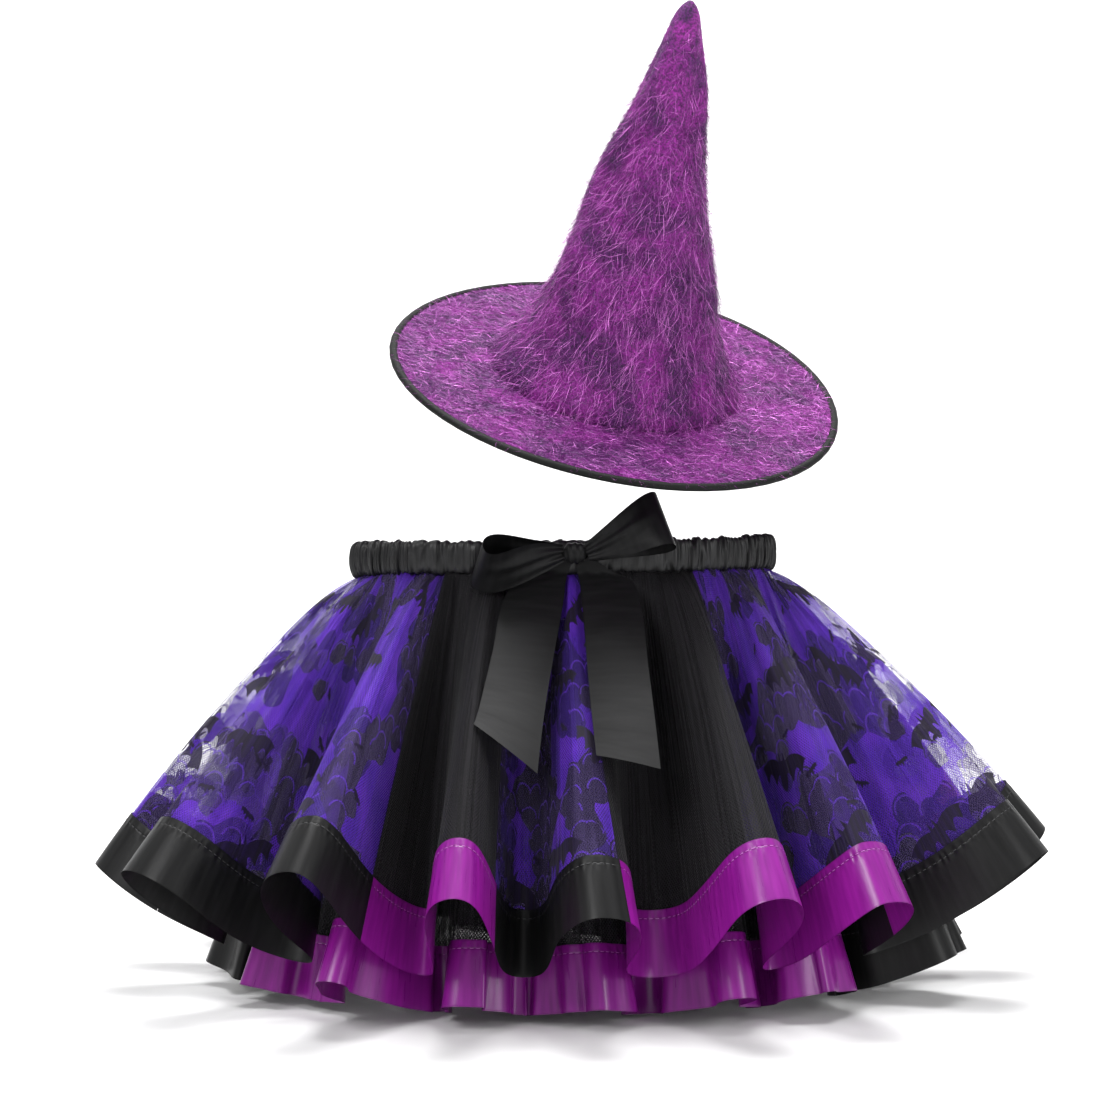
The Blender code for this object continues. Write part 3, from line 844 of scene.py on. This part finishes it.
def stitch_row(line, outward):
    """Small stitches along a line: each a short flattened bar that lies on the cloth."""
    places, direction = along_line(line, STITCH_SPACING)
    picked = np.linspace(0, len(line) - 1, len(places)).astype(int)
    up = outward[picked]
    side = np.cross(direction, up)
    side /= np.linalg.norm(side, axis=-1, keepdims=True)
    ring = [(-0.5, 0.3, -0.2), (-0.5, -0.3, -0.2), (-0.3, 0.6, 0.8), (-0.3, -0.6, 0.8),
            (0.3, 0.6, 0.8), (0.3, -0.6, 0.8), (0.5, 0.3, -0.2), (0.5, -0.3, -0.2)]
    points = np.stack([
        places + direction * (STITCH_LENGTH * along) + side * (STITCH_RADIUS * beside)
        + up * (STITCH_RADIUS * high)
        for along, beside, high in ring
    ], axis=1)
    bar = np.array([(0, 1, 3, 2), (2, 3, 5, 4), (4, 5, 7, 6)])
    faces = (np.arange(len(places)) * 8)[:, None, None] + bar
    return points.reshape(-1, 3), faces.reshape(-1, 4)


def add_stitches(layer, panel):
    """The sewing line that holds a ribbon on its net."""
    slides = np.array([1 - (RIBBON_WIDTH - STITCH_DOWN) / layer.length])
    turn, slide = panel_turns(layer, panel, slides)
    line = cloth_points(layer, turn, slide, RIBBON_OUT)[:, 0]
    above = cloth_points(layer, turn, slide, RIBBON_OUT + 0.001)[:, 0]
    points, faces = stitch_row(line, (above - line) / 0.001)
    finish = "purple_thread" if panel.ribbon == "purple_satin" else "black_thread"
    made = mesh_object("stitches_" + panel.name, points, faces, finish)
    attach(made, "root")


def build_skirt():
    outer = Layer(0.235, 0.0, OUTER_FOLDS, crest_bulge=13.0, shoulder=0.0065, gather=GATHER_DEPTH,
                  columns=56, ruffle=0.0005)
    middle_folds = [
        fold._replace(lift=fold.under, sink=fold.sink - MIDDLE_SINK_LESS,
                      curl=fold.curl * MIDDLE_CURL)
        for fold in OUTER_FOLDS
    ]
    middle = Layer(0.254, 0.0016, middle_folds, crest_bulge=8.0, shoulder=0.001, gather=0.0,
                   columns=44, ruffle=0.0068)
    lining_folds = [
        fold._replace(lift=LINING_LIFT, sink=LINING_SINK, curl=0, lean=0) for fold in OUTER_FOLDS
    ]
    lining = Layer(0.240, 0.0032, lining_folds, crest_bulge=8.0, shoulder=0.0, gather=0.0,
                   columns=30, ruffle=0.0025)
    for layer, panels in ((outer, OUTER_PANELS), (middle, MIDDLE_PANELS), (lining, LINING_PANELS)):
        for panel in panels:
            lowest = 1 - (RIBBON_WIDTH - RIBBON_LAP) / layer.length if panel.ribbon else 1.0
            add_net(layer, panel, lowest)
            if panel.ribbon:
                add_ribbon(layer, panel)
                add_stitches(layer, panel)
    return outer


def build_waistband():
    """The gathered satin casing: a soft flattened ring with uneven pleats and ruffled edges."""
    columns, rows = 1500, 26
    azimuth = 2 * math.pi * (np.arange(columns + 1) / columns) + math.pi
    around = 2 * math.pi * np.arange(rows + 1) / rows + math.pi
    spot = CASING_PLEATS * (azimuth - math.pi) / (2 * math.pi)
    wander = 1.6 * np.sin(2 * math.pi * spot / 9) + 0.9 * np.sin(2 * math.pi * spot / 3.7 + 2)
    a, w = spot[:, None], wander[:, None]
    t = around[None, :]
    slant = 0.30 * np.cos(t) * np.sin(2 * math.pi * a / 5 + 1) + 0.12 * np.cos(2 * t) * np.sin(a)
    deep = 0.65 + 0.35 * np.sin(2 * math.pi * a / 2.7 + w)
    pleat = np.abs(np.sin(math.pi * (a + 0.25 * w + slant))) ** 0.8 * deep
    fine = np.sin(2 * math.pi * (2.0 * a + 0.4 * w - slant))
    edge, outward = waist_edge(azimuth, 0.0)
    depth = BAND_HALF_THICKNESS - 0.0009 + 0.0023 * pleat + 0.0003 * fine
    height = BAND_HALF_HEIGHT - 0.0012 + 0.0019 * pleat + 0.0004 * fine
    out = np.sign(np.sin(t)) * np.abs(np.sin(t)) ** 0.75 * depth
    up = np.sign(np.cos(t)) * np.abs(np.cos(t)) ** 0.85 * height
    flat = edge[:, None, :] + outward[:, None, :] * out[..., None]
    level = waist_height(azimuth)[:, None] + up
    grid = np.concatenate([flat, level[..., None]], axis=-1)
    along = grid_lengths(grid.mean(axis=1), 0)
    places = np.stack(np.broadcast_arrays(along[:, None], around * 0.008), axis=-1).reshape(-1, 2)
    faces = grid_faces(columns + 1, rows + 1)[:, ::-1]
    band = mesh_object("waistband_casing", grid.reshape(-1, 3), faces, "gathered_satin", places)
    stand_for(band, "waistband")


# Bow


def loop_grid(loop):
    """A loop of ribbon that leaves the knot, turns round at its far end and comes back."""
    begin = np.array(KNOT_PLACE) + (loop.side * (KNOT_SIZE[0] / 2 + LOOP_CLEAR), 0.0, 0.0)
    far = np.array(loop.far)
    axis = far / np.linalg.norm(far)
    shares = np.linspace(0.5, -0.5, 19)
    grid = []
    for part in np.linspace(0, 1, 73):
        reach = math.sin(math.pi * part)
        across = np.array([0.0, 0.0, 1.0]) * (1 - reach) + np.array(loop.across) * reach
        across -= axis * (across @ axis)
        across /= np.linalg.norm(across)
        through = np.cross(axis, across) * loop.side
        width = LOOP_PINCH + (BOW_WIDTH - LOOP_PINCH) * reach**0.7
        leaf = math.cos(math.pi * part)
        apart = LOOP_END_GAP / 2 * np.sign(leaf) * abs(leaf) ** 0.3
        apart += LOOP_OPEN / 2 * math.sin(2 * math.pi * part)
        centre = begin + far * reach**0.8 + through * apart
        pinch = (1 - reach) ** 1.4
        crease = 0.0009 * pinch * np.sin(2 * math.pi * 2.6 * shares + 0.7 * loop.side)
        fold = 0.0016 * reach * (1 - reach) * 4 * np.exp(-((shares - 0.12 * reach) / 0.10) ** 2)
        lift = crease + fold * (1 if part < 0.5 else -0.4)
        grid.append(centre + across * (width * shares)[:, None] + through * lift[:, None])
    return np.array(grid)


def front_cover(layer, across, slide, out):
    """A point over the front folds' crests, at a distance across, moved out from them."""
    turns = np.linspace(0.0, 8.0, 161)
    azimuth = fold_slopes(layer, turns)[0]
    lifts = np.interp(turns, np.arange(9), [fold.lift for fold in layer.folds[:9]])
    run_out, run_down = slope_run(lifts, layer.crest_bulge, slide, layer.length)
    puff = crest_shoulder(layer, slide)
    run_out = run_out + puff * np.cos(np.radians(lifts))
    run_down = run_down - puff * np.sin(np.radians(lifts))
    edge, outward = waist_edge(np.radians(azimuth), layer.inset)
    flat = edge + outward * run_out[:, None]
    ahead = np.interp(across, flat[:, 0], flat[:, 1])
    down = np.interp(across, flat[:, 0], run_down)
    lift = np.interp(across, flat[:, 0], lifts)
    slope = math.radians(lift + layer.crest_bulge * (0.5 - slide))
    before_band = -WAIST_HALF_DEPTH - BAND_HALF_THICKNESS - BAND_CLEAR
    level = SKIRT_TOP - down + out * math.sin(slope)
    return np.array([across, min(ahead - out * math.cos(slope), before_band), level])


def through_points(at, places, values):
    """A smooth line through values at places, read at these spots."""
    places, values = np.asarray(places, float), np.asarray(values, float)
    slopes = np.gradient(values, places)
    index = np.clip(np.searchsorted(places, at) - 1, 0, len(places) - 2)
    gap = places[index + 1] - places[index]
    share = np.clip((at - places[index]) / gap, 0, 1)
    done = 3 * share**2 - 2 * share**3
    rise = values[index] * (1 - done) + values[index + 1] * done
    bend = slopes[index] * (share**3 - 2 * share**2 + share)
    bend = bend + slopes[index + 1] * (share**3 - share**2)
    return rise + bend * gap


def tail_grid(tail, layer):
    """A tail of ribbon that hangs over the band and lies on the front folds."""
    rows = np.array([(row.slide, row.middle, row.width) for row in tail.rows])
    slides = np.linspace(rows[0, 0], rows[-1, 0], 60)
    shares = np.linspace(-0.5, 0.5, 15)
    grid = []
    for slide in slides:
        middle = through_points(slide, rows[:, 0], rows[:, 1])
        width = through_points(slide, rows[:, 0], rows[:, 2])
        done = (slide - rows[0, 0]) / (rows[-1, 0] - rows[0, 0])
        cut = tail.cut * done**6
        pinch = np.clip(1 - done * 4, 0, 1) ** 1.5
        camber = -0.0011 * (2 * np.abs(shares)) ** 2 * (1 - pinch)
        crease = 0.0006 * pinch * np.sin(2 * math.pi * 2.4 * shares)
        sway = 0.0012 * math.sin(5 * done + 1) * done * (1 - 0.3 * shares)
        out = TAIL_CLEAR + camber + crease + sway
        grid.append([
            front_cover(layer, middle + share * width, slide + share * cut, lift)
            for share, lift in zip(shares, out)
        ])
    return np.array(grid)


def add_bow_ribbon(name, node, grid):
    """A stretch of the bow's ribbon, given as rows of points across it."""
    down = np.linspace(0, RIBBON_WIDTH, grid.shape[1])
    along = grid_lengths(grid.mean(axis=1), 0)
    places = np.stack(np.broadcast_arrays(along[:, None], down), axis=-1).reshape(-1, 2)
    faces = grid_faces(*grid.shape[:2])
    ribbon = mesh_object(name, grid.reshape(-1, 3), faces, "bow_satin", places)
    stand_for(ribbon, node)


def build_knot():
    """The bow's knot: ribbon wrapped round its middle, creased and drawn in at both sides."""
    columns, rows = 49, 25
    around = np.linspace(0, 2 * math.pi, columns)[:, None]
    share = np.linspace(-1, 1, rows)[None, :]
    swell = np.sqrt(np.clip(1 - (np.abs(share) * 0.97) ** 3.2, 0.05, 1))
    crease = 0.00045 * np.sin(2 * math.pi * 1.7 * share + 1.3 * np.sin(around)) * (1 - share**4)
    x = share * KNOT_SIZE[0] / 2 * (1 + 0.05 * np.sin(around + 1))
    y = -np.cos(around) * (swell * (KNOT_SIZE[1] / 2 - 0.0004) + crease)
    z = np.sin(around) * (swell * (KNOT_SIZE[2] / 2 - 0.0004) + crease)
    grid = np.stack(np.broadcast_arrays(x, y, z), axis=-1) + np.array(KNOT_PLACE)
    wrapped = np.broadcast_arrays(around * KNOT_SIZE[1] * 2 / 3, share * 0.006 + RIBBON_WIDTH / 2)
    places = np.stack(wrapped, axis=-1).reshape(-1, 2)
    faces = grid_faces(columns, rows)[:, ::-1]
    knot = mesh_object("bow_knot_wrap", grid.reshape(-1, 3), faces, "bow_satin", places)
    weld = knot.modifiers.new("join", "WELD")
    weld.merge_threshold = 0.00002
    stand_for(knot, "bow_knot")


def build_bow(layer):
    build_knot()
    for loop in BOW_LOOPS:
        add_bow_ribbon(loop.name + "_ribbon", loop.name, loop_grid(loop))
    for tail in BOW_TAILS:
        hanging = tail_grid(tail, layer)
        add_bow_ribbon(tail.name + "_ribbon", tail.name, hanging)


# Hat


def hat_matrix():
    tilt = Euler((math.radians(HAT_TILT_AHEAD), math.radians(HAT_TILT_RIGHT), 0.0)).to_matrix()
    return Matrix.Translation(Vector(HAT_PLACE)) @ tilt.to_4x4()


def brim_height(angle, radius):
    share = radius / BRIM_RADIUS
    return -BRIM_DIP * share**2 + BRIM_WAVE * share**3 * np.sin(2 * angle - 0.6)


def crown_radius(height, angle):
    share = height / CROWN_HEIGHT
    cone = CROWN_BASE_RADIUS + (CROWN_TIP_RADIUS - CROWN_BASE_RADIUS) * share
    flare = CROWN_FLARE * np.maximum(0.0, 1 - height / CROWN_FLARE_HEIGHT) ** 2
    wide = np.sin(3 * angle + 9 * share) * np.sin(math.pi * share)
    fine = 0.6 * np.sin(5 * angle - 14 * share) * share
    return cone + flare + CROWN_DENT * (wide + fine) * np.minimum(1.0, 5 * (1 - share))


def crown_surface(height, angle):
    near_tip = np.clip(height / CROWN_HEIGHT - TIP_ROUND_FROM, 0, 1) / (1 - TIP_ROUND_FROM)
    radius = crown_radius(height, angle) * np.sqrt(1 - near_tip**2)
    return np.stack([radius * np.cos(angle), radius * np.sin(angle), height], axis=-1)


def brim_surface(angle, radius):
    level = brim_height(angle, radius)
    return np.stack([radius * np.cos(angle), radius * np.sin(angle), level], axis=-1)


def place_on_hat(piece):
    """Turns a piece's mesh from the hat's own frame into the costume's."""
    piece.data.transform(hat_matrix())
    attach(piece, "root")


def build_crown():
    columns, rows = 128, 72
    angle = 2 * math.pi * np.arange(columns) / columns
    height = np.linspace(0, 1, rows) ** 0.8 * (CROWN_HEIGHT * 0.9985)
    grid = crown_surface(*np.broadcast_arrays(height[None, :], angle[:, None]))
    points = np.concatenate([grid.reshape(-1, 3), [(0.0, 0.0, CROWN_HEIGHT)]])
    faces = [tuple(face) for face in grid_faces(columns, rows, round_across=True)[:, ::-1]]
    for column in range(columns):
        beside = (column + 1) % columns
        faces.append((column * rows + rows - 1, beside * rows + rows - 1, len(points) - 1))
    crown = mesh_object("hat_crown_cloth", points, faces, "hat_cloth")
    give_wall(crown, 0.0014)
    place_on_hat(crown)
    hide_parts("hat_crown")


def build_brim():
    columns, rows = 160, 30
    inner = CROWN_BASE_RADIUS + CROWN_FLARE - CROWN_WALL
    angle = 2 * math.pi * np.arange(columns) / columns
    radius = np.linspace(inner, BRIM_RADIUS, rows)
    grid = brim_surface(*np.broadcast_arrays(angle[:, None], radius[None, :]))
    grid[..., 2] -= BRIM_WALL / 2
    faces = grid_faces(columns, rows, round_across=True)[:, ::-1]
    brim = mesh_object("hat_brim_cloth", grid.reshape(-1, 3), faces, "hat_cloth")
    give_wall(brim, BRIM_WALL * 0.75)
    place_on_hat(brim)
    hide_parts("hat_brim")


def build_binding():
    """The bias tape folded round the brim's edge, flatter than a cord."""
    columns, rows = 220, 17
    angle = 2 * math.pi * np.arange(columns) / columns
    turn = math.pi + 2 * math.pi * np.arange(rows) / (rows - 1)
    middle = BRIM_RADIUS + BINDING_RADIUS * 0.75
    pucker = 1 + 0.05 * np.sin(angle * 61)[:, None] * np.cos(turn)[None, :] ** 2
    out = BINDING_RADIUS * 0.92 * np.cos(turn)[None, :] * pucker
    up = BINDING_RADIUS * 0.80 * np.sin(turn)[None, :] * pucker
    radius = middle + out
    level = brim_height(angle, BRIM_RADIUS)[:, None] - BRIM_WALL / 2 + up
    grid = np.stack(np.broadcast_arrays(
        radius * np.cos(angle)[:, None], radius * np.sin(angle)[:, None], level), axis=-1)
    faces = grid_faces(columns, rows, round_across=True)[:, ::-1]
    tape = mesh_object("hat_binding_tape", grid.reshape(-1, 3), faces, "bias_tape")
    place_on_hat(tape)
    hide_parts("hat_binding")


def add_strands(name, pile, roots, outward, along, beside, rng, shorten=1.0):
    """Tinsel: thin pointed strips that leave roots, lean over and bend back to the cloth."""
    count = pile.count
    heading = np.radians(rng.normal(pile.bias, pile.spread, count))
    lean = along * np.cos(heading)[:, None] + beside * np.sin(heading)[:, None]
    lifts = np.radians(np.abs(rng.normal(pile.rise, 0.5 * pile.rise, count)))
    lengths = pile.reach * shorten * rng.uniform(0.55, 1.35, count)
    wisps = rng.random(count) < WISP_SHARE
    lifts = lifts + np.where(wisps, math.radians(WISP_RISE), 0.0)
    first = lean * np.cos(lifts)[:, None] + outward * np.sin(lifts)[:, None]
    later = lifts - np.radians(rng.normal(1.1 * pile.rise, pile.rise, count))
    twist = rng.normal(0.0, 0.35, count)
    turned = lean * np.cos(twist)[:, None] + np.cross(outward, lean) * np.sin(twist)[:, None]
    second = turned * np.cos(later)[:, None] + outward * np.sin(later)[:, None]
    middle = roots + first * (lengths * 0.5)[:, None]
    tip = middle + second * (lengths * 0.5)[:, None]
    flatwise = np.cross(first, outward + 0.5 * rng.normal(0, 1, (count, 3)))
    flatwise /= np.linalg.norm(flatwise, axis=-1, keepdims=True)
    half = flatwise * (pile.width / 2 * rng.uniform(0.7, 1.3, count))[:, None]
    points = np.stack([roots - half, roots + half, middle - half, middle + half, tip], axis=1)
    first_point = np.arange(count)[:, None] * 5
    quads = first_point + np.array([0, 1, 3, 2])
    tips = first_point + np.array([2, 3, 4])
    faces = quads.tolist() + tips.tolist()
    made = mesh_object(name, points.reshape(-1, 3), faces, "tinsel")
    # A random shade for each strand; the tinsel material paints the highest as lilac glints.
    attribute = made.data.attributes.new("shade", "FLOAT", "POINT")
    shades = rng.beta(*pile.shades, count)
    attribute.data.foreach_set("value", np.repeat(shades, 5).astype(np.float32))
    place_on_hat(made)


def surface_frame(surface, first, second, step):
    """A surface's points, its outward normals and its two directions at these coordinates."""
    points = surface(first, second)
    one = surface(first + step[0], second) - points
    two = surface(first, second + step[1]) - points
    one /= np.linalg.norm(one, axis=-1, keepdims=True)
    two /= np.linalg.norm(two, axis=-1, keepdims=True)
    normal = np.cross(one, two)
    return points, normal / np.linalg.norm(normal, axis=-1, keepdims=True), one, two


def cover_crown(name, pile, rng):
    height = CROWN_HEIGHT * (1 - np.sqrt(1 - rng.random(pile.count) * 0.9985))
    angle = rng.uniform(0, 2 * math.pi, pile.count)
    points, inward, up, beside = surface_frame(crown_surface, height, angle, (0.0003, 0.004))
    shorten = np.clip(2.2 * (1 - height / CROWN_HEIGHT) + 0.35, 0, 1)
    add_strands(name, pile, points - inward * 0.0006, -inward, -up, beside, rng, shorten)


def cover_brim(name, pile, rng):
    inner = CROWN_BASE_RADIUS + CROWN_FLARE
    radius = np.sqrt(rng.uniform(inner**2, (BRIM_RADIUS - 0.001) ** 2, pile.count))
    angle = rng.uniform(0, 2 * math.pi, pile.count)
    points, normal, beside, away = surface_frame(brim_surface, angle, radius, (0.004, 0.0005))
    outward = normal * np.sign(normal[:, 2:])
    add_strands(name, pile, points - outward * 0.0003, outward, away, beside, rng)


def build_tinsel():
    rng = np.random.default_rng(31)
    cover_crown("hat_crown_pile", CROWN_PILE, rng)
    cover_crown("hat_crown_tinsel", CROWN_TINSEL, rng)
    cover_brim("hat_brim_pile", BRIM_PILE, rng)
    cover_brim("hat_brim_tinsel", BRIM_TINSEL, rng)


def build_hat():
    build_crown()
    build_brim()
    build_binding()
    build_tinsel()


# Stage


def build_stage(lowest):
    """A pale paper sweep: floor, curve and wall in one sheet."""
    level = lowest - FLOOR_DROP
    front, bend_start, bend, top = -2.6, 1.6, 0.9, 3.2
    profile = [(front, level)]
    for step in np.linspace(0, math.pi / 2, 24):
        profile.append((bend_start + bend * math.sin(step), level + bend * (1 - math.cos(step))))
    profile.append((bend_start + bend, top))
    grid = np.array([[(side, y, z) for y, z in profile] for side in np.linspace(-4, 4, 9)])
    faces = grid_faces(*grid.shape[:2])[:, ::-1]
    sweep = mesh_object("sweep", grid.reshape(-1, 3), faces, "floor_paper")


def area_light(name, place, target, size, power):
    data = bpy.data.lights.new(name, "AREA")
    data.shape = "RECTANGLE"
    data.size, data.size_y = size
    data.energy = power
    light = bpy.data.objects.new(name, data)
    light.location = place
    light.rotation_euler = (Vector(target) - Vector(place)).to_track_quat("-Z", "Y").to_euler()
    bpy.context.scene.collection.objects.link(light)


def build_lights():
    world = bpy.data.worlds.new("studio")
    bpy.context.scene.world = world
    world.use_nodes = True
    sky = world.node_tree.nodes["Background"]
    sky.inputs["Color"].default_value = (1.0, 1.0, 1.0, 1.0)
    sky.inputs["Strength"].default_value = 0.50
    area_light("key", (-1.3, -1.8, 1.5), (0, 0, 0), (0.9, 0.9), 34.0)
    area_light("fill", (1.7, -1.5, 0.7), (0, 0, 0), (0.6, 1.4), 18.0)
    area_light("top", (0.1, 0.1, 2.2), (0, 0, 0), (1.4, 1.4), 48.0)
    area_light("backdrop", (0.0, 0.3, 2.6), (0, 2.4, 0.6), (2.4, 1.0), 90.0)


def build_camera():
    """The photograph's view: level with the skirt's top, a little above it."""
    target = Vector(((IMAGE_SIDE / 2 - MIDDLE_PIXEL[0]) * METRES_PER_PIXEL, 0.0, 0.0))
    data = bpy.data.cameras.new("camera")
    data.sensor_width = SENSOR
    data.lens = SENSOR * CAMERA_DISTANCE / (IMAGE_SIDE * METRES_PER_PIXEL)
    camera = bpy.data.objects.new("camera", data)
    tilt = math.radians(CAMERA_ELEVATION)
    back = Vector((0.0, -math.cos(tilt), math.sin(tilt)))
    camera.location = target + back * CAMERA_DISTANCE
    camera.rotation_euler = (-back).to_track_quat("-Z", "Y").to_euler()
    bpy.context.scene.collection.objects.link(camera)
    bpy.context.scene.camera = camera
    bpy.context.scene.view_settings.view_transform = "Standard"


def corners(box):
    return [list(corner) for corner in box]


def main():
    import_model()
    solid_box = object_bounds()
    build_camera()
    build_lights()
    make_materials()
    outer = build_skirt()
    build_waistband()
    build_bow(outer)
    build_hat()
    build_stage(solid_box[0].z)
    bpy.context.view_layer.update()


main()
